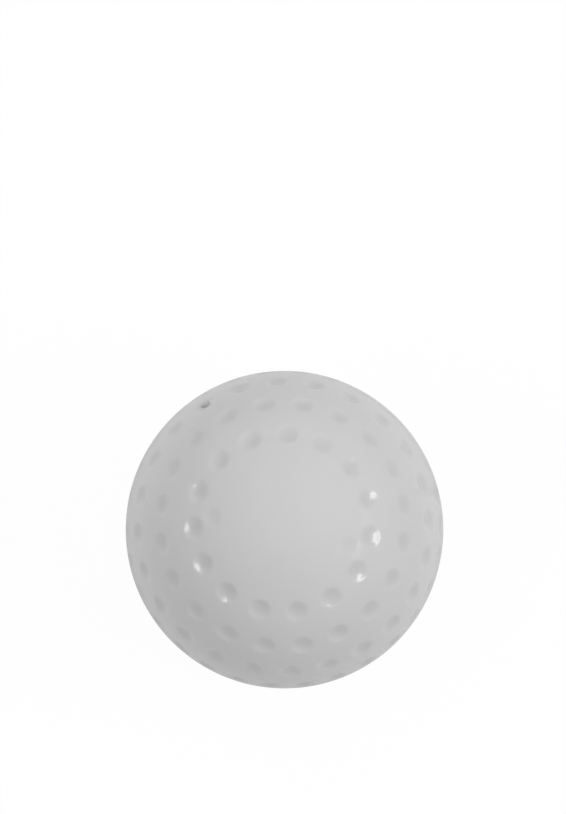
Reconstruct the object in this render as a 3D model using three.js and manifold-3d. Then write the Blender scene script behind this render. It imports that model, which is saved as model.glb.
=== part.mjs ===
// A dimpled field hockey ball: two moulded half covers, joined round the middle by a tongue and groove,
// over a core built up from a cork centre, wound yarn and a pair of cork cups.
//
// Millimetres. The origin is the centre of the ball. +Z runs through the middle of the upper printing panel,
// and the joint between the two halves lies in the XY plane. Angles round the ball run from +X towards +Y.

import * as THREE from 'three';
import { mergeVertices } from 'three/addons/utils/BufferGeometryUtils.js';
import Module from 'manifold-3d';

// Cover
const BALL_DIAMETER = 73;
const COVER_WALL = 6;
const SEAM_CHAMFER = 0.3;

// Joint between the half covers
const TONGUE_WIDTH = 2;
const TONGUE_HEIGHT = 1.8;

// Gap left between neighbouring pieces, and round the tongue in its groove
const FIT_GAP = 0.3;

// Dimples, in rows parallel to the seam. The first row lies half a pitch from the seam.
const DIMPLE_DIAMETER = 5.2;
const DIMPLE_DEPTH = 0.6;
const ROW_PITCH_DEG = 16;
const ROWS = [
  { count: 30, firstDeg: 1 },
  { count: 24, firstDeg: 2.7 },
  { count: 20, firstDeg: 9.1 },
  { count: 15, firstDeg: 15.1 },
];

// Pit that the moulding gate leaves in one dimple, a little towards the seam from the dimple's middle
const GATE_ROW = 1;
const GATE_DIMPLE = 8;
const GATE_PIT_DIAMETER = 1.9;
const GATE_PIT_DEPTH = 1.1;
const GATE_PIT_OFFSET_DEG = 1.2;

// Core layers, from the outside in. The cork centre fills what they leave.
const OUTER_WINDING_THICKNESS = 3.5;
const CORK_CUP_WALL = 6;
const INNER_WINDING_THICKNESS = 3;
const TUCK_HOLE_DIAMETER = 4;

// Fineness of the faceted surfaces. Every inner surface has its corners on the same latitudes and longitudes,
// so the gap between two layers is even.
const COVER_SEGMENTS = 48;
const CORE_SEGMENTS = 24;
const DIMPLE_SIDES = 8;
const GATE_PIT_SIDES = 8;
const coverStepDeg = 360 / COVER_SEGMENTS;
const coreStepDeg = 360 / CORE_SEGMENTS;

// Radii that follow from the sizes above
const ballRadius = BALL_DIAMETER / 2;
const coverInnerRadius = ballRadius - COVER_WALL;
const outerWindingRadius = coverInnerRadius - FIT_GAP;
const corkCupRadius = outerWindingRadius - OUTER_WINDING_THICKNESS - FIT_GAP;
const innerWindingRadius = corkCupRadius - CORK_CUP_WALL - FIT_GAP;
const corkCentreRadius = innerWindingRadius - INNER_WINDING_THICKNESS - FIT_GAP;
const tongueMiddleRadius = ballRadius - COVER_WALL / 2;

const MATERIALS = {
  cover: new THREE.MeshStandardMaterial({ color: 0xcccccc, roughness: 0.35, metalness: 0 }),
  yarn: new THREE.MeshStandardMaterial({ color: 0xd8cbb0, roughness: 0.95, metalness: 0 }),
  cork: new THREE.MeshStandardMaterial({ color: 0xb5855a, roughness: 0.9, metalness: 0 }),
};

const wasm = await Module();
wasm.setup();

const UP = new THREE.Vector3(0, 1, 0);
const radians = THREE.MathUtils.degToRad;

// Closed solid of a geometry, for cutting
function solidOf(geometry) {
  const bare = geometry.clone();
  bare.deleteAttribute('normal');
  bare.deleteAttribute('uv');
  const merged = mergeVertices(bare);
  const mesh = new wasm.Mesh({
    numProp: 3,
    vertProperties: merged.attributes.position.array,
    triVerts: new Uint32Array(merged.index.array),
  });
  return new wasm.Manifold(mesh);
}

function geometryOf(solid) {
  const { vertProperties, triVerts } = solid.getMesh();
  const geometry = new THREE.BufferGeometry();
  geometry.setAttribute('position', new THREE.BufferAttribute(vertProperties, 3));
  geometry.setIndex(new THREE.BufferAttribute(triVerts, 1));
  geometry.computeVertexNormals();
  return geometry;
}

// Points of a circle round the origin, from one latitude to another, as a profile of radius and height
function arc(radius, fromDeg, toDeg, stepDeg) {
  const steps = Math.round(Math.abs(toDeg - fromDeg) / stepDeg);
  return Array.from({ length: steps + 1 }, (_, i) => {
    const latitude = radians(fromDeg + ((toDeg - fromDeg) * i) / steps);
    return new THREE.Vector2(radius * Math.cos(latitude), radius * Math.sin(latitude));
  });
}

// Solid of revolution about +Z
function turned(profile, segments) {
  return new THREE.LatheGeometry(profile, segments).rotateX(Math.PI / 2);
}

// Rectangle across the seam face, from its inner to its outer side: a tongue if its end is below the face,
// a groove if its end is above it
function seamStep(width, endHeight) {
  const inner = tongueMiddleRadius - width / 2;
  const outer = tongueMiddleRadius + width / 2;
  return [
    new THREE.Vector2(inner, 0),
    new THREE.Vector2(inner, endHeight),
    new THREE.Vector2(outer, endHeight),
    new THREE.Vector2(outer, 0),
  ];
}

const tongue = () => seamStep(TONGUE_WIDTH, -TONGUE_HEIGHT);
const groove = () => seamStep(TONGUE_WIDTH + 2 * FIT_GAP, TONGUE_HEIGHT + FIT_GAP);

// Outward direction at the middle of a dimple, or some degrees from it towards the seam
function dimpleDirection(row, index, towardsSeamDeg = 0) {
  const { count, firstDeg } = ROWS[row];
  const latitude = radians((row + 0.5) * ROW_PITCH_DEG - towardsSeamDeg);
  const longitude = radians(firstDeg + (360 * index) / count);
  return new THREE.Vector3(
    Math.cos(latitude) * Math.cos(longitude),
    Math.cos(latitude) * Math.sin(longitude),
    Math.sin(latitude),
  );
}

// A cutter modelled along +Y from the centre of the ball, turned to point outward along a direction
function aimed(geometry, direction) {
  const turn = new THREE.Quaternion().setFromUnitVectors(UP, direction);
  return solidOf(geometry.clone().applyQuaternion(turn));
}

// Lens that cuts one dimple: its lower side is a spherical bowl in two bands, and the outer band passes
// through the dimple's rim on the ball and runs on above it
function dimpleCutter() {
  const floor = new THREE.Vector2(0, ballRadius - DIMPLE_DEPTH);
  const rimRadius = DIMPLE_DIAMETER / 2;
  const rim = new THREE.Vector2(rimRadius, Math.sqrt(ballRadius ** 2 - rimRadius ** 2));
  const bowlHeight = rim.y - floor.y;
  const bowlRadius = (rimRadius ** 2 + bowlHeight ** 2) / (2 * bowlHeight);
  const middleAngle = Math.asin(rimRadius / bowlRadius) / 2;
  const middle = new THREE.Vector2(
    bowlRadius * Math.sin(middleAngle),
    floor.y + bowlRadius * (1 - Math.cos(middleAngle)),
  );
  const above = middle.clone().lerp(rim, 2);
  const lid = new THREE.Vector2(0, above.y);
  return new THREE.LatheGeometry([floor, middle, above, lid], DIMPLE_SIDES);
}

function gatePitCutter() {
  const floor = ballRadius - DIMPLE_DEPTH - GATE_PIT_DEPTH;
  const radius = GATE_PIT_DIAMETER / 2;
  const length = ballRadius - floor;
  const pin = new THREE.CylinderGeometry(radius, radius, length, GATE_PIT_SIDES);
  return pin.translate(0, floor + length / 2, 0);
}

// Half cover with its pole at +Z and its seam face at z = 0
function halfCover(seam) {
  const chamferLatitude = THREE.MathUtils.radToDeg(Math.asin(SEAM_CHAMFER / ballRadius));
  const profile = [
    ...arc(coverInnerRadius, 90, 0, coreStepDeg),
    ...seam,
    new THREE.Vector2(ballRadius - SEAM_CHAMFER, 0),
    ...arc(ballRadius, chamferLatitude, 90, coverStepDeg),
  ];
  const dimple = dimpleCutter();
  let cover = solidOf(turned(profile, COVER_SEGMENTS));
  ROWS.forEach(({ count }, row) => {
    for (let index = 0; index < count; index += 1) {
      cover = cover.subtract(aimed(dimple, dimpleDirection(row, index)));
    }
  });
  const gate = dimpleDirection(GATE_ROW, GATE_DIMPLE, GATE_PIT_OFFSET_DEG);
  cover = cover.subtract(aimed(gatePitCutter(), gate));
  return geometryOf(cover);
}

// Wound layer: a hollow ball of yarn with the small hole where the yarn's tail is tucked in
function winding(outerRadius, thickness) {
  const innerRadius = outerRadius - thickness;
  const holeRadius = TUCK_HOLE_DIAMETER / 2;
  const holeEdge = (radius) => new THREE.Vector2(holeRadius, Math.sqrt(radius ** 2 - holeRadius ** 2));
  const topRowDeg = 90 - coreStepDeg;
  const profile = [
    ...arc(outerRadius, -90, topRowDeg, coreStepDeg),
    holeEdge(outerRadius),
    holeEdge(innerRadius),
    ...arc(innerRadius, topRowDeg, -90, coreStepDeg),
  ];
  return turned(profile, CORE_SEGMENTS);
}

// Hemispherical cork cup with its rim at z = 0
function corkCup() {
  const profile = [
    ...arc(corkCupRadius - CORK_CUP_WALL, 90, 0, coreStepDeg),
    ...arc(corkCupRadius, 0, 90, coreStepDeg),
  ];
  return turned(profile, CORE_SEGMENTS);
}

function corkCentre() {
  return turned(arc(corkCentreRadius, -90, 90, coreStepDeg), CORE_SEGMENTS);
}

function piece(name, geometry, material) {
  const mesh = new THREE.Mesh(geometry, material);
  mesh.name = name;
  return mesh;
}

const upperHalf = new THREE.Group();
upperHalf.add(piece('upper_cover', halfCover(tongue()), MATERIALS.cover));
upperHalf.add(piece('upper_cork_cup', corkCup(), MATERIALS.cork));

// The lower half is the same mouldings turned over, with the groove in place of the tongue
const lowerHalf = new THREE.Group();
lowerHalf.rotation.x = Math.PI;
lowerHalf.add(piece('lower_cover', halfCover(groove()), MATERIALS.cover));
lowerHalf.add(piece('lower_cork_cup', corkCup(), MATERIALS.cork));

const ball = new THREE.Group();
ball.name = 'field_hockey_ball';
ball.add(upperHalf, lowerHalf);
ball.add(piece('outer_winding', winding(outerWindingRadius, OUTER_WINDING_THICKNESS), MATERIALS.yarn));
ball.add(piece('inner_winding', winding(innerWindingRadius, INNER_WINDING_THICKNESS), MATERIALS.yarn));
ball.add(piece('cork_centre', corkCentre(), MATERIALS.cork));

export default ball;
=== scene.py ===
"""Looks of a dimpled field hockey ball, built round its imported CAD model.

Metres, in the CAD frame: the origin is the ball's centre, +Z runs through the upper printing panel, and the
seam between the half covers lies in the XY plane. The camera looks down on the upper panel.
"""

import math

import bmesh
import bpy
import numpy as np
from mathutils import Matrix, Vector
from mathutils import noise as solid_noise


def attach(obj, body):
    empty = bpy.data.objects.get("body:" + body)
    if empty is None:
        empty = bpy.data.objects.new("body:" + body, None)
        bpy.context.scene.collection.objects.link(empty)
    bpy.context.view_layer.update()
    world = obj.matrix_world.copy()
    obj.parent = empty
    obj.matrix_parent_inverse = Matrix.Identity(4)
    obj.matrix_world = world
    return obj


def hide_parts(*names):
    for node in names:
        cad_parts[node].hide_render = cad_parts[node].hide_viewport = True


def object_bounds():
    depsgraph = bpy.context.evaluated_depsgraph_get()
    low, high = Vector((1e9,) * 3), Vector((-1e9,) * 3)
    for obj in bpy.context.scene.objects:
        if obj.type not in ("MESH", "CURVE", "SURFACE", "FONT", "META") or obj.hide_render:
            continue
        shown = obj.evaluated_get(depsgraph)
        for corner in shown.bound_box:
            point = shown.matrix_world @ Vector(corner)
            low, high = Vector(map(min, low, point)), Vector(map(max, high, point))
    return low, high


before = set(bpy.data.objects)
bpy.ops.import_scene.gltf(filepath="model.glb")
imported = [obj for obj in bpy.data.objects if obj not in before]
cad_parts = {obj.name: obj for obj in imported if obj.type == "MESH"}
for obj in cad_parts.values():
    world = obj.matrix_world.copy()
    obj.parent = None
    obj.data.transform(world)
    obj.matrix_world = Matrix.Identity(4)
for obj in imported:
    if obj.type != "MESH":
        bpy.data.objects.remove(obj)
cad_low, cad_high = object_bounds()

MM = 0.001

# Sizes of the moulded covers, as in the CAD model. Rows of dimples are listed from the seam to the panel.
BALL_RADIUS = (cad_high.z - cad_low.z) / 2
COVER_WALL = 6 * MM
SEAM_CHAMFER = 0.3 * MM
TONGUE_WIDTH = 2 * MM
TONGUE_HEIGHT = 1.8 * MM
FIT_GAP = 0.3 * MM
DIMPLE_DIAMETER = 5.2 * MM
DIMPLE_DEPTH = 0.6 * MM
ROW_PITCH_DEG = 16
DIMPLES_IN_ROW = (30, 24, 20, 15)
FIRST_DIMPLE_DEG = (1.0, 2.7, 9.1, 15.1)
GATE_ROW = 1
GATE_DIMPLE = 8
GATE_PIT_DIAMETER = 1.9 * MM
GATE_PIT_DEPTH = 1.1 * MM
GATE_PIT_OFFSET_DEG = 1.2

# Sizes of the core, as in the CAD model
OUTER_WINDING_THICKNESS = 3.5 * MM
CORK_CUP_WALL = 6 * MM
INNER_WINDING_THICKNESS = 3 * MM
TUCK_HOLE_DIAMETER = 4 * MM
COVER_INNER_RADIUS = BALL_RADIUS - COVER_WALL
OUTER_WINDING_RADIUS = COVER_INNER_RADIUS - FIT_GAP
CORK_CUP_RADIUS = OUTER_WINDING_RADIUS - OUTER_WINDING_THICKNESS - FIT_GAP
INNER_WINDING_RADIUS = CORK_CUP_RADIUS - CORK_CUP_WALL - FIT_GAP
CORK_CENTRE_RADIUS = INNER_WINDING_RADIUS - INNER_WINDING_THICKNESS - FIT_GAP

# Finer marks of the moulding, too small for the CAD model. Polar angles are measured from +Z.
RIM_ROUNDING = 0.1 * MM
PIT_FLOOR_RADIUS = 0.3 * GATE_PIT_DIAMETER
PIT_MOUTH_RADIUS = 0.7 * GATE_PIT_DIAMETER
PIN_MARK_DIAMETER = 4.2 * MM
PIN_MARK_DEPTH = 0.25 * MM
PIN_MARK_POLAR_DEG = 26
PIN_MARK_ANGLES_DEG = (176, 341)
FLOW_MARK_ANGLE_DEG = 13.5
FLOW_MARK_START_POLAR_DEG = 50
FLOW_MARK_FULL_POLAR_DEG = 64
FLOW_MARK_WIDTH = 2 * MM
FLOW_MARK_DEPTH = 0.4 * MM

# Strands of the yarn. They lie side by side in belts wound one over another, and the axis of each belt is
# turned and raised from that of the belt below it.
YARN_DIAMETER = 2 * MM
YARN_GROOVE = 0.7 * MM
BELTS = 18
BELT_STRANDS = 7
BELT_TURN_DEG = 137.5
BELT_RISE = 0.414
LOWEST_BELT_DEPTH = 0.6 * MM

# Dents of the pressed cork, and the broken edges of the cups
CORK_DENT_SIZE = 4 * MM
CORK_DENT_DEPTH = 0.25 * MM
CORK_EDGE = 0.5 * MM

# Fineness of the meshes
GRID_CELLS = 160
SEAM_ROWS_DEG = (0, 0.24, 0.47, 0.72)
PIT_REFINED_RADIUS = 1.7 * MM
PIT_REFINED_CUTS = 2
YARN_MESH = 0.55 * MM
CORK_MESH = 1.2 * MM
HIDDEN_MESH = 4 * MM
FLOOR_SIDES = 64
SHARP_EDGE_DEG = 50
SAME_PLACE = 0.001 * MM
SAME_DIGITS = 6

# Finish of the moulded covers. Noise varies to both sides of its middle value.
CLEAN_GREYS = (0.575, 0.605)
MOTTLE_SIZE = 14 * MM
# Dust and painted shade darken the dimples and other hollows, the more the deeper they lie.
DUST_AND_SHADE_GREY = 0.45
DUST_AND_SHADE_SHARE = 0.32
# Grime and painted shade darken the gate pit below the dimples' floors.
GRIME_AND_SHADE_GREY = 0.33
GRIME_AND_SHADE_DEPTH = (0.25 * MM, 0.6 * MM)
RIPPLE_SIZE = 1.3 * MM
RIPPLE_RANGE = (0.3, 0.7)
GRAIN_SIZE = 0.25 * MM
GLOSS_GRAIN_SHARE = 0.1
PANEL_GRAIN_SHARE = 0.5
MOULDED_RELIEF = 0.006 * MM
GLOSS_ROUGHNESS = (0.17, 0.23)
PANEL_ROUGHNESS = 0.8
PANEL_EDGE_DEG = (28, 33)
STIPPLE_SIZE = 0.08 * MM
STIPPLE_REACH = 0.3
NOISE_MIDDLE = 0.5
PVC_IOR = 1.54

# Finish of the cork. The gaps' width is a share of a grain.
CORK_GRAIN = 1.9 * MM
CORK_GRAIN_WOBBLE = 1.1 * MM
CORK_SPECK_SIZE = 0.5 * MM
CORK_SPECK_SHARE = 0.4
CORK_COLOURS = ((0.58, 0.34, 0.17, 1), (0.34, 0.16, 0.065, 1))
CORK_GAP_COLOUR = (0.20, 0.09, 0.04, 1)
CORK_GAP_WIDTH = 0.07
CORK_GAP_SHARE = 0.6
CORK_RELIEF = 0.15 * MM
CORK_ROUGHNESS = (0.8, 0.95)

# Finish of the yarn
YARN_COLOURS = ((0.74, 0.65, 0.48, 1), (0.62, 0.53, 0.37, 1))
YARN_PATCH_SIZE = 6 * MM
# Painted shade down between the strands
YARN_GROOVE_SHADE_COLOUR = (0.33, 0.26, 0.16, 1)
YARN_FIBRE_SIZE = 0.35 * MM
YARN_FUZZ = 0.12 * MM
YARN_ROUGHNESS = (0.85, 1.0)

# Framing: where the ball lies in the picture, in pixels, and how its pole leans there
PICTURE_WIDTH = 566
PICTURE_HEIGHT = 814
BALL_CENTRE_PX = (284.5, 529.6)
BALL_RADIUS_PX = 158.8
POLE_LEANS_UP_DEG = 2.8
POLE_LEANS_LEFT_DEG = 0.87
CAMERA_DISTANCE = 80 * BALL_RADIUS
CAMERA_CLIP = 4 * CAMERA_DISTANCE

# Radiance of the light: 1 from all round lights a white surface to white
WORLD_RADIANCE = 0.325
LEFT_RADIANCE = 6.7
RIGHT_RADIANCE = 6.8
TOP_RADIANCE = 1.15
SIDE_RADIANCE = 0.9
OVERHEAD_RADIANCE = 1.45

# Floor. It turns white over these distances from the ball's foot, in the picture and in the ball's gloss.
FLOOR_RADIUS = 4.0
FLOOR_GREY = 0.7
WHITE = (1, 1, 1, 1)
BACKGROUND_WHITE = 0.96
PICTURE_WHITE_FROM = (0, BALL_RADIUS)
GLOSS_WHITE_FROM = (0.6 * BALL_RADIUS, 2.6 * BALL_RADIUS)


def unit(polar_deg, angle_deg):
    """Direction at an angle from +Z, turned round +Z from +X."""
    polar = math.radians(polar_deg)
    angle = math.radians(angle_deg)
    return np.array((math.sin(polar) * math.cos(angle), math.sin(polar) * math.sin(angle), math.cos(polar)))


def smooth(low, high, values):
    """0 below one value and 1 above another, with an even change between them."""
    t = np.clip((values - low) / (high - low), 0, 1)
    return t * t * (3 - 2 * t)


def set_surface(points, radius, depth_of):
    """Sets points to a radius less a depth, which depends on their direction from the centre."""
    directions = np.array([p.co.normalized() for p in points])
    places = directions * (radius - depth_of(directions))[:, None]
    for point, place in zip(points, places):
        point.co = place


def arc(radius, from_deg, to_deg, step):
    """Points of a circle round the origin, from one latitude to another, as pairs of radius and height."""
    count = round(radius * math.radians(abs(to_deg - from_deg)) / step)
    latitudes = np.radians(np.linspace(from_deg, to_deg, count + 1))
    return list(zip(radius * np.cos(latitudes), radius * np.sin(latitudes)))


def ring(made, count, radius, height):
    """Points of a level circle, or a single point on the axis."""
    if radius < SAME_PLACE:
        return [made.verts.new((0, 0, height))]
    angles = np.arange(count) * (2 * math.pi / count)
    return [made.verts.new((radius * math.cos(a), radius * math.sin(a), height)) for a in angles]


def join_rings(made, first, second):
    """Faces between two rings of as many points, or between a ring and a point on the axis."""
    for i in range(max(len(first), len(second))):
        a, b = (first[k % len(first)] for k in (i, i + 1))
        c, d = (second[k % len(second)] for k in (i, i + 1))
        made.faces.new(dict.fromkeys((a, c, d, b)))


def turn_profile(made, profile, count, joined_to=None):
    """Turns a profile of radius and height about +Z. The outside is to the left of its way."""
    last = joined_to
    for radius, height in profile:
        following = ring(made, count, radius, height)
        if last:
            join_rings(made, last, following)
        last = following


def turned_over(made):
    """The same mesh with its pole at -Z."""
    bmesh.ops.transform(made, matrix=Matrix.Rotation(math.pi, 4, "X"), verts=made.verts)
    return made


def add_piece(made, name, node, material):
    """Piece with a finished mesh, in place of a CAD part."""
    mesh = bpy.data.meshes.new(name)
    made.to_mesh(mesh)
    made.free()
    mesh.shade_smooth()
    mesh.set_sharp_from_angle(angle=math.radians(SHARP_EDGE_DEG))
    mesh.materials.append(material)
    piece = bpy.data.objects.new(name, mesh)
    bpy.context.scene.collection.objects.link(piece)
    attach(piece, "root")
    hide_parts(node)


def dimple_direction(row, index, towards_seam_deg=0):
    """Outward direction at the middle of a dimple, or some degrees from it towards the seam."""
    latitude_deg = (row + 0.5) * ROW_PITCH_DEG - towards_seam_deg
    angle_deg = FIRST_DIMPLE_DEG[row] + 360 * index / DIMPLES_IN_ROW[row]
    return unit(90 - latitude_deg, angle_deg)


def gate_pit_direction():
    return dimple_direction(GATE_ROW, GATE_DIMPLE, GATE_PIT_OFFSET_DEG)


def distance_from(directions, centre):
    """Distance along the ball's surface from each direction to a centre."""
    return BALL_RADIUS * np.arccos(np.clip(directions @ centre, -1, 1))


def bowl(distance, diameter, depth):
    """Depth of a round hollow with a slightly rounded rim."""
    inside = depth * (1 - (2 * distance / diameter) ** 2)
    return (inside + np.sqrt(inside ** 2 + RIM_ROUNDING ** 2)) / 2


def flow_mark_depth(directions):
    """A faint groove that starts part of the way down and runs on to the seam."""
    side = BALL_RADIUS * (directions @ unit(90, FLOW_MARK_ANGLE_DEG + 90))
    polar_deg = np.degrees(np.arccos(directions[:, 2]))
    along = smooth(FLOW_MARK_START_POLAR_DEG, FLOW_MARK_FULL_POLAR_DEG, polar_deg)
    on_this_side = directions @ unit(90, FLOW_MARK_ANGLE_DEG) > 0
    return FLOW_MARK_DEPTH * along * on_this_side * np.exp(-(2 * side / FLOW_MARK_WIDTH) ** 2)


def cover_depth(directions):
    """How far the cover's surface lies below a plain sphere in each direction."""
    depth = np.zeros(len(directions))
    for row, count in enumerate(DIMPLES_IN_ROW):
        for index in range(count):
            near = distance_from(directions, dimple_direction(row, index))
            depth = np.maximum(depth, bowl(near, DIMPLE_DIAMETER, DIMPLE_DEPTH))
    for angle in PIN_MARK_ANGLES_DEG:
        near = distance_from(directions, unit(PIN_MARK_POLAR_DEG, angle))
        depth = np.maximum(depth, bowl(near, PIN_MARK_DIAMETER, PIN_MARK_DEPTH))
    near = distance_from(directions, gate_pit_direction())
    depth += GATE_PIT_DEPTH * (1 - smooth(PIT_FLOOR_RADIUS, PIT_MOUTH_RADIUS, near))
    depth += flow_mark_depth(directions)
    height = BALL_RADIUS * directions[:, 2]
    depth += np.clip(SEAM_CHAMFER - height, 0, None)
    return depth


def join_patches(patches):
    """Unit directions and quads of several grids of points, with the points along shared edges made one."""
    points, quads = [], []
    for patch in patches:
        columns, rows, _ = patch.shape
        first = sum(len(p) for p in points)
        number = first + np.arange(columns * rows).reshape(columns, rows)
        corners = (number[:-1, :-1], number[1:, :-1], number[1:, 1:], number[:-1, 1:])
        quads.append(np.stack([c.ravel() for c in corners], axis=-1))
        points.append(patch.reshape(-1, 3))
    points = np.concatenate(points)
    points /= np.linalg.norm(points, axis=1, keepdims=True)
    rounded = np.round(points, SAME_DIGITS)
    _, kept, merged = np.unique(rounded, axis=0, return_index=True, return_inverse=True)
    return points[kept], merged.ravel()[np.concatenate(quads)]


def half_ball_grid():
    """Unit directions and quads of a half ball: a square patch on top and four patches down to the seam."""
    across = np.tan(np.radians(np.linspace(-45, 45, GRID_CELLS + 1)))
    rows_deg = np.linspace(0, 45, GRID_CELLS // 2 + 1)
    up = np.tan(np.radians([*SEAM_ROWS_DEG, *rows_deg[rows_deg > SEAM_ROWS_DEG[-1]]]))
    top = np.stack(np.broadcast_arrays(across[:, None], across, 1.0), axis=-1)
    side = np.stack(np.broadcast_arrays(1.0, across[:, None], up), axis=-1)
    quarter_turn = np.array(((0, 1, 0), (-1, 0, 0), (0, 0, 1)), float)
    patches = [top]
    for _ in range(4):
        patches.append(side)
        side = side @ quarter_turn
    return join_patches(patches)


def refine_round_pit(made):
    """Splits the faces round the gate pit, so that its wall has enough points."""
    pit = Vector(gate_pit_direction() * BALL_RADIUS)
    edges = [e for e in made.edges if all((v.co - pit).length < PIT_REFINED_RADIUS for v in e.verts)]
    bmesh.ops.subdivide_edges(made, edges=edges, cuts=PIT_REFINED_CUTS, use_grid_fill=True)


def angle_round_axis(vertex):
    """Angle from +X towards +Y, from 0 to a whole turn."""
    return round(math.atan2(vertex.co.y, vertex.co.x) % (2 * math.pi), SAME_DIGITS)


def half_cover(step_width, step_end):
    """Half cover with its pole at +Z, its dimples and marks, and a tongue or groove round its seam face."""
    directions, quads = half_ball_grid()
    plain = bpy.data.meshes.new("half_ball")
    plain.from_pydata(directions * BALL_RADIUS, [], quads)
    made = bmesh.new()
    made.from_mesh(plain)
    bpy.data.meshes.remove(plain)
    refine_round_pit(made)
    set_surface(made.verts, BALL_RADIUS, cover_depth)
    seam_edge = sorted((v for v in made.verts if v.is_boundary), key=angle_round_axis)
    step_middle = BALL_RADIUS - COVER_WALL / 2
    step_inner = step_middle - step_width / 2
    step_outer = step_middle + step_width / 2
    profile = [(step_outer, 0), (step_outer, step_end), (step_inner, step_end), (step_inner, 0)]
    profile += arc(COVER_INNER_RADIUS, 0, 90, HIDDEN_MESH)
    turn_profile(made, profile, len(seam_edge), joined_to=seam_edge)
    return made


def belt_axis(index):
    """Direction about which one belt of yarn runs, spread over half a ball."""
    height = (index * BELT_RISE) % 1
    return unit(math.degrees(math.acos(height)), index * BELT_TURN_DEG)


def yarn_depth(directions, radius):
    """Depth below the highest strands. The first belt covers the whole ball, and each later one a strip."""
    axes = np.array([belt_axis(i) for i in range(BELTS)])
    strands = radius * np.arcsin(np.clip(directions @ axes.T, -1, 1)) / YARN_DIAMETER
    covered = np.abs(strands) < BELT_STRANDS / 2
    covered[:, 0] = True
    above = np.argmax(covered[:, ::-1], axis=1)
    strand = np.take_along_axis(strands[:, ::-1], above[:, None], axis=1)[:, 0]
    return YARN_GROOVE * np.sin(math.pi * strand) ** 2 + LOWEST_BELT_DEPTH * above / (BELTS - 1)


def winding(outer_radius, thickness):
    """Wound layer with its strands in the mesh, and the hole where the yarn's tail is tucked in."""
    inner_radius = outer_radius - thickness
    hole_radius = TUCK_HOLE_DIAMETER / 2
    inner_edge_deg = math.degrees(math.acos(hole_radius / inner_radius))
    outer_edge_deg = math.degrees(math.acos(hole_radius / outer_radius))
    profile = arc(inner_radius, -90, inner_edge_deg, HIDDEN_MESH)
    profile += arc(outer_radius, outer_edge_deg, -90, YARN_MESH)
    made = bmesh.new()
    turn_profile(made, profile, round(2 * math.pi * outer_radius / YARN_MESH))
    outside = [v for v in made.verts if v.co.length > outer_radius - SAME_PLACE]
    set_surface(outside, outer_radius, lambda directions: yarn_depth(directions, outer_radius))
    return made


def cork_turned(profile, radius):
    """Cork piece turned from a profile, with the dents of pressing over its outer surface."""
    def dents(directions):
        waves = [solid_noise.noise(Vector(d * radius / CORK_DENT_SIZE)) for d in directions]
        return CORK_DENT_DEPTH * (1 + np.array(waves)) / 2

    made = bmesh.new()
    turn_profile(made, profile, round(2 * math.pi * radius / CORK_MESH))
    outside = [v for v in made.verts if v.co.length > radius - SAME_PLACE]
    set_surface(outside, radius, dents)
    return made


def cork_cup():
    """Hemispherical cup with its rim at z = 0 and the rim's edges broken."""
    inner_radius = CORK_CUP_RADIUS - CORK_CUP_WALL
    outer_edge_deg = math.degrees(math.asin(CORK_EDGE / CORK_CUP_RADIUS))
    inner_edge_deg = math.degrees(math.asin(CORK_EDGE / inner_radius))
    profile = arc(CORK_CUP_RADIUS, 90, outer_edge_deg, CORK_MESH)
    profile += [(CORK_CUP_RADIUS - CORK_EDGE, 0), (inner_radius + CORK_EDGE, 0)]
    profile += arc(inner_radius, inner_edge_deg, 90, CORK_MESH)
    return cork_turned(profile, CORK_CUP_RADIUS)


def cork_centre():
    return cork_turned(arc(CORK_CENTRE_RADIUS, 90, -90, CORK_MESH), CORK_CENTRE_RADIUS)


def add(tree, kind, inputs=None, **settings):
    """New shader node with its settings, and its inputs set to values or joined to sockets."""
    node = tree.nodes.new("ShaderNode" + kind)
    for name, value in settings.items():
        setattr(node, name, value)
    for name, value in (inputs or {}).items():
        if isinstance(value, bpy.types.NodeSocket):
            tree.links.new(value, node.inputs[name])
        else:
            node.inputs[name].default_value = value
    return node


def new_material(name):
    """Material with an empty node tree."""
    material = bpy.data.materials.new(name)
    material.use_nodes = True
    tree = material.node_tree
    tree.nodes.clear()
    return material, tree


def finish_material(tree, surface):
    add(tree, "OutputMaterial", {"Surface": surface})


def grey(value):
    return (value, value, value, 1)


def place_in_object(tree):
    return add(tree, "TexCoord").outputs["Object"]


def length(tree, place):
    return add(tree, "VectorMath", {0: place}, operation="LENGTH").outputs["Value"]


def noise(tree, place, size, detail=2.0):
    """Noise whose features are about the given size."""
    return add(tree, "TexNoise", {"Vector": place, "Scale": 1 / size, "Detail": detail}).outputs["Fac"]


def remap(tree, value, from_low, from_high, to_low, to_high, kind="LINEAR"):
    """Value carried from one range to another, and held within the second."""
    inputs = {
        "Value": value,
        "From Min": from_low,
        "From Max": from_high,
        "To Min": to_low,
        "To Max": to_high,
    }
    return add(tree, "MapRange", inputs, interpolation_type=kind).outputs["Result"]


def math_node(tree, operation, a, b=0.0):
    return add(tree, "Math", {0: a, 1: b}, operation=operation).outputs[0]


def mix_colours(tree, share, a, b):
    """Mix of two colours, which a Mix node takes at its inputs 6 and 7."""
    return add(tree, "Mix", {0: share, 6: a, 7: b}, data_type="RGBA").outputs[2]


def mix_values(tree, share, a, b):
    """Mix of two numbers, which a Mix node takes at its inputs 2 and 3."""
    return add(tree, "Mix", {0: share, 2: a, 3: b}, data_type="FLOAT").outputs[0]


def raised(tree, height, distance):
    """Normals of a finely raised surface. A height of 1 stands for the given distance."""
    return add(tree, "Bump", {"Height": height, "Distance": distance}).outputs["Normal"]


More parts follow.
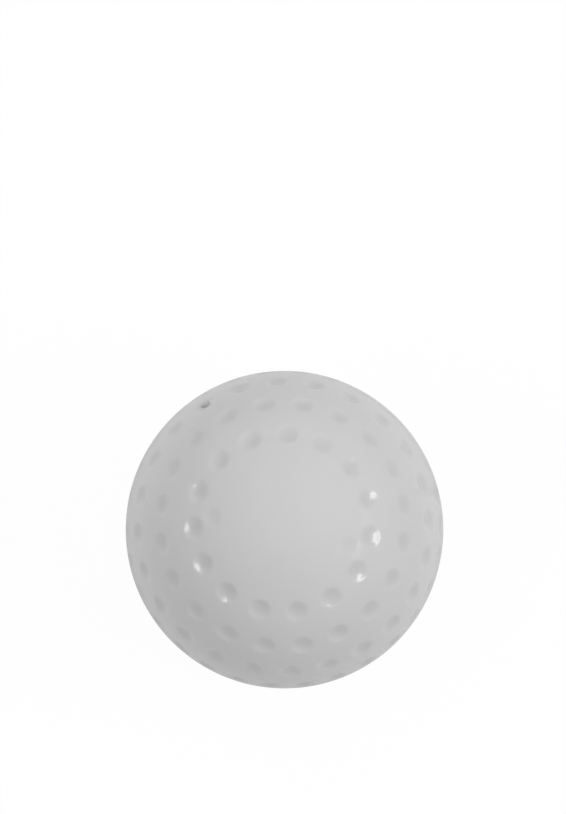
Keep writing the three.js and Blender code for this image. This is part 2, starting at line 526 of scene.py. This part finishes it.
def panel_mask(tree, place):
    """1 on the two printing panels and 0 elsewhere, with a fine stipple where they change over."""
    outward = add(tree, "VectorMath", {0: place}, operation="NORMALIZE").outputs["Vector"]
    height = add(tree, "SeparateXYZ", {0: outward}).outputs["Z"]
    either_pole = math_node(tree, "ABSOLUTE", height)
    panel_height, edge_height = (math.cos(math.radians(angle)) for angle in PANEL_EDGE_DEG)
    stipple = noise(tree, place, STIPPLE_SIZE, detail=0.0)
    towards_panel = remap(tree, either_pole, edge_height, panel_height, -STIPPLE_REACH, STIPPLE_REACH)
    return math_node(tree, "GREATER_THAN", math_node(tree, "ADD", stipple, towards_panel), NOISE_MIDDLE)


def cover_material():
    """Pale grey PVC: semi-gloss with a faint moulded ripple, matt on the panels. Dust and painted shade
    darken the hollows. Grime and painted shade darken the gate pit further.
    """
    material, tree = new_material("cover_pvc")
    place = place_in_object(tree)
    from_centre = length(tree, place)
    panel = panel_mask(tree, place)
    mottle = noise(tree, place, MOTTLE_SIZE, detail=3.0)
    ripple = noise(tree, place, RIPPLE_SIZE, detail=2.0)
    grain = noise(tree, place, GRAIN_SIZE, detail=1.0)
    clean = mix_colours(tree, mottle, grey(CLEAN_GREYS[0]), grey(CLEAN_GREYS[1]))
    dimple_floor = BALL_RADIUS - DIMPLE_DEPTH
    # Dust and painted shade: darker the deeper the surface lies, down to the dimples' floors.
    dust_and_shade = remap(tree, from_centre, dimple_floor, BALL_RADIUS, DUST_AND_SHADE_SHARE, 0.0)
    dusty_and_shaded = mix_colours(tree, dust_and_shade, clean, grey(DUST_AND_SHADE_GREY))
    # Grime and painted shade: darker the deeper down the gate pit.
    grime_and_shade_top, grime_and_shade_bottom = (dimple_floor - depth for depth in GRIME_AND_SHADE_DEPTH)
    grime_and_shade = remap(tree, from_centre, grime_and_shade_bottom, grime_and_shade_top, 1.0, 0.0)
    colour = mix_colours(tree, grime_and_shade, dusty_and_shaded, grey(GRIME_AND_SHADE_GREY))
    gloss = remap(tree, ripple, *RIPPLE_RANGE, *GLOSS_ROUGHNESS)
    roughness = mix_values(tree, panel, gloss, PANEL_ROUGHNESS)
    grain_share = mix_values(tree, panel, GLOSS_GRAIN_SHARE, PANEL_GRAIN_SHARE)
    relief = math_node(tree, "ADD", ripple, math_node(tree, "MULTIPLY", grain, grain_share))
    normal = raised(tree, relief, MOULDED_RELIEF)
    inputs = {"Base Color": colour, "Roughness": roughness, "Normal": normal, "IOR": PVC_IOR}
    finish_material(tree, add(tree, "BsdfPrincipled", inputs).outputs[0])
    return material


def cork_material():
    """Pressed cork: uneven brown grains with darker gaps between them."""
    material, tree = new_material("cork")
    place = place_in_object(tree)
    wobble = add(tree, "TexNoise", {"Vector": place, "Scale": 1 / CORK_GRAIN}).outputs["Color"]
    shift = {0: wobble, 1: (CORK_GRAIN_WOBBLE,) * 3, 2: place}
    shifted = add(tree, "VectorMath", shift, operation="MULTIPLY_ADD").outputs["Vector"]
    cells = {"Vector": shifted, "Scale": 1 / CORK_GRAIN}
    grains = add(tree, "TexVoronoi", cells, feature="F1")
    edges = add(tree, "TexVoronoi", cells, feature="DISTANCE_TO_EDGE")
    tone = add(tree, "SeparateColor", {0: grains.outputs["Color"]}).outputs[0]
    specks = noise(tree, place, CORK_SPECK_SIZE, detail=3.0)
    body = mix_colours(tree, mix_values(tree, CORK_SPECK_SHARE, tone, specks), *CORK_COLOURS)
    gap = remap(tree, edges.outputs["Distance"], 0.0, CORK_GAP_WIDTH, CORK_GAP_SHARE, 0.0)
    colour = mix_colours(tree, gap, body, CORK_GAP_COLOUR)
    normal = raised(tree, math_node(tree, "SUBTRACT", specks, gap), CORK_RELIEF)
    roughness = remap(tree, tone, 0.0, 1.0, *CORK_ROUGHNESS)
    inputs = {"Base Color": colour, "Roughness": roughness, "Normal": normal}
    finish_material(tree, add(tree, "BsdfPrincipled", inputs).outputs[0])
    return material


def yarn_material(name, radius):
    """Undyed yarn: fuzzy and uneven in colour, with painted shade down between the strands."""
    material, tree = new_material(name)
    place = place_in_object(tree)
    # Painted shade: the yarn is darker the deeper it lies between the strands.
    deepest = radius - YARN_GROOVE - LOWEST_BELT_DEPTH
    groove = remap(tree, length(tree, place), deepest, radius, 1.0, 0.0)
    patches = mix_colours(tree, noise(tree, place, YARN_PATCH_SIZE), *YARN_COLOURS)
    colour = mix_colours(tree, groove, patches, YARN_GROOVE_SHADE_COLOUR)
    fibres = noise(tree, place, YARN_FIBRE_SIZE, detail=4.0)
    normal = raised(tree, fibres, YARN_FUZZ)
    roughness = remap(tree, fibres, 0.0, 1.0, *YARN_ROUGHNESS)
    inputs = {"Base Color": colour, "Roughness": roughness, "Normal": normal}
    finish_material(tree, add(tree, "BsdfPrincipled", inputs).outputs[0])
    return material


def ray_kinds(tree):
    """1 for rays from the camera, and 1 for rays that a gloss or clear surface passes on."""
    path = add(tree, "LightPath").outputs
    in_gloss = math_node(tree, "MAXIMUM", path["Is Glossy Ray"], path["Is Transmission Ray"])
    return path["Is Camera Ray"], in_gloss


def floor_material():
    """Pale paint that shows the ball's shadow round its foot and turns white farther out."""
    material, tree = new_material("floor")
    in_picture, in_gloss = ray_kinds(tree)
    from_foot = length(tree, place_in_object(tree))
    picture_white = remap(tree, from_foot, *PICTURE_WHITE_FROM, 0.0, BACKGROUND_WHITE, "SMOOTHSTEP")
    gloss_white = remap(tree, from_foot, *GLOSS_WHITE_FROM, 0.0, BACKGROUND_WHITE, "SMOOTHSTEP")
    shown_white = math_node(tree, "MULTIPLY", in_picture, picture_white)
    mirrored_white = math_node(tree, "MULTIPLY", in_gloss, gloss_white)
    white = math_node(tree, "MAXIMUM", shown_white, mirrored_white)
    paint_colour = mix_colours(tree, in_picture, grey(FLOOR_GREY), WHITE)
    paint = add(tree, "BsdfDiffuse", {"Color": paint_colour}).outputs[0]
    glow = add(tree, "Emission", {"Color": WHITE, "Strength": 1.0}).outputs[0]
    finish_material(tree, add(tree, "MixShader", {0: white, 1: paint, 2: glow}).outputs[0])
    return material


def floor_piece():
    """Round floor under the ball."""
    made = bmesh.new()
    bmesh.ops.create_circle(made, cap_ends=True, segments=FLOOR_SIDES, radius=FLOOR_RADIUS)
    mesh = bpy.data.meshes.new("floor")
    made.to_mesh(mesh)
    made.free()
    mesh.materials.append(floor_material())
    floor = bpy.data.objects.new("floor", mesh)
    floor.location.z = cad_low.z
    bpy.context.scene.collection.objects.link(floor)


def soft_world():
    """Even light from all round, with a white background."""
    world = bpy.data.worlds.new("studio")
    world.use_nodes = True
    tree = world.node_tree
    tree.nodes.clear()
    seen = math_node(tree, "MAXIMUM", *ray_kinds(tree))
    strength = mix_values(tree, seen, WORLD_RADIANCE, 1.0)
    light = add(tree, "Background", {"Color": WHITE, "Strength": strength}).outputs[0]
    add(tree, "OutputWorld", {"Surface": light})
    bpy.context.scene.world = world


def softbox(name, towards, distance, width, height, radiance, mirrored=True):
    """Rectangular lamp of even radiance that faces the ball, with its width level."""
    lamp = bpy.data.lights.new(name, "AREA")
    lamp.shape = "RECTANGLE"
    lamp.size = width
    lamp.size_y = height
    lamp.energy = math.pi * radiance * width * height
    away = Vector(towards).normalized()
    made = bpy.data.objects.new(name, lamp)
    made.location = away * distance
    made.rotation_euler = away.to_track_quat("Z", "Y").to_euler()
    made.visible_camera = False
    made.visible_glossy = mirrored
    bpy.context.scene.collection.objects.link(made)


def studio_lamps():
    """Two lamps that the gloss mirrors, and three fills that it doesn't."""
    softbox("left_light", towards=(-0.61, -0.16, 0.77), distance=1.0, width=0.64, height=0.18,
            radiance=LEFT_RADIANCE)
    softbox("right_light", towards=(0.70, -0.08, 0.71), distance=1.0, width=0.6, height=0.28,
            radiance=RIGHT_RADIANCE)
    softbox("top_fill", towards=(-0.25, 1, 0.35), distance=1.2, width=1.5, height=0.6,
            radiance=TOP_RADIANCE, mirrored=False)
    softbox("right_fill", towards=(1, 0.1, 0.35), distance=1.2, width=1.2, height=0.6,
            radiance=SIDE_RADIANCE, mirrored=False)
    softbox("overhead", towards=(0, 0.3, 0.95), distance=1.4, width=1.0, height=0.6,
            radiance=OVERHEAD_RADIANCE, mirrored=False)


def picture_camera():
    """Long lens that puts the ball at its place in the picture, with its pole leaning as it does there."""
    lens = bpy.data.cameras.new("camera")
    pixels_per_radian = BALL_RADIUS_PX * math.sqrt((CAMERA_DISTANCE / BALL_RADIUS) ** 2 - 1)
    lens.lens = lens.sensor_width * pixels_per_radian / max(PICTURE_WIDTH, PICTURE_HEIGHT)
    lens.clip_end = CAMERA_CLIP
    left = Matrix.Rotation(math.radians(POLE_LEANS_LEFT_DEG), 3, "Y")
    up = Matrix.Rotation(math.radians(POLE_LEANS_UP_DEG), 3, "X")
    picture_right, picture_up, towards_camera = (left @ up).col
    metres_per_pixel = CAMERA_DISTANCE / pixels_per_radian
    off_x = (PICTURE_WIDTH / 2 - BALL_CENTRE_PX[0]) * metres_per_pixel
    off_y = (BALL_CENTRE_PX[1] - PICTURE_HEIGHT / 2) * metres_per_pixel
    place = towards_camera * CAMERA_DISTANCE
    back = (place - picture_right * off_x - picture_up * off_y).normalized()
    right = picture_up.cross(back).normalized()
    turn = Matrix((right, back.cross(right), back)).transposed()
    camera = bpy.data.objects.new("camera", lens)
    camera.matrix_world = Matrix.LocRotScale(place, turn, None)
    bpy.context.scene.collection.objects.link(camera)
    bpy.context.scene.camera = camera


picture_camera()
soft_world()
studio_lamps()
floor_piece()

pvc = cover_material()
tongued = half_cover(TONGUE_WIDTH, -TONGUE_HEIGHT)
grooved = half_cover(TONGUE_WIDTH + 2 * FIT_GAP, TONGUE_HEIGHT + FIT_GAP)
add_piece(tongued, "upper_cover_skin", "upper_cover", pvc)
add_piece(turned_over(grooved), "lower_cover_skin", "lower_cover", pvc)

outer_yarn = yarn_material("outer_yarn", OUTER_WINDING_RADIUS)
inner_yarn = yarn_material("inner_yarn", INNER_WINDING_RADIUS)
outer_winding = winding(OUTER_WINDING_RADIUS, OUTER_WINDING_THICKNESS)
inner_winding = winding(INNER_WINDING_RADIUS, INNER_WINDING_THICKNESS)
add_piece(outer_winding, "outer_winding_yarn", "outer_winding", outer_yarn)
add_piece(inner_winding, "inner_winding_yarn", "inner_winding", inner_yarn)

cork = cork_material()
add_piece(cork_cup(), "upper_cork_cup_body", "upper_cork_cup", cork)
add_piece(turned_over(cork_cup()), "lower_cork_cup_body", "lower_cork_cup", cork)
add_piece(cork_centre(), "cork_centre_body", "cork_centre", cork)

bpy.context.scene.view_settings.view_transform = "Standard"
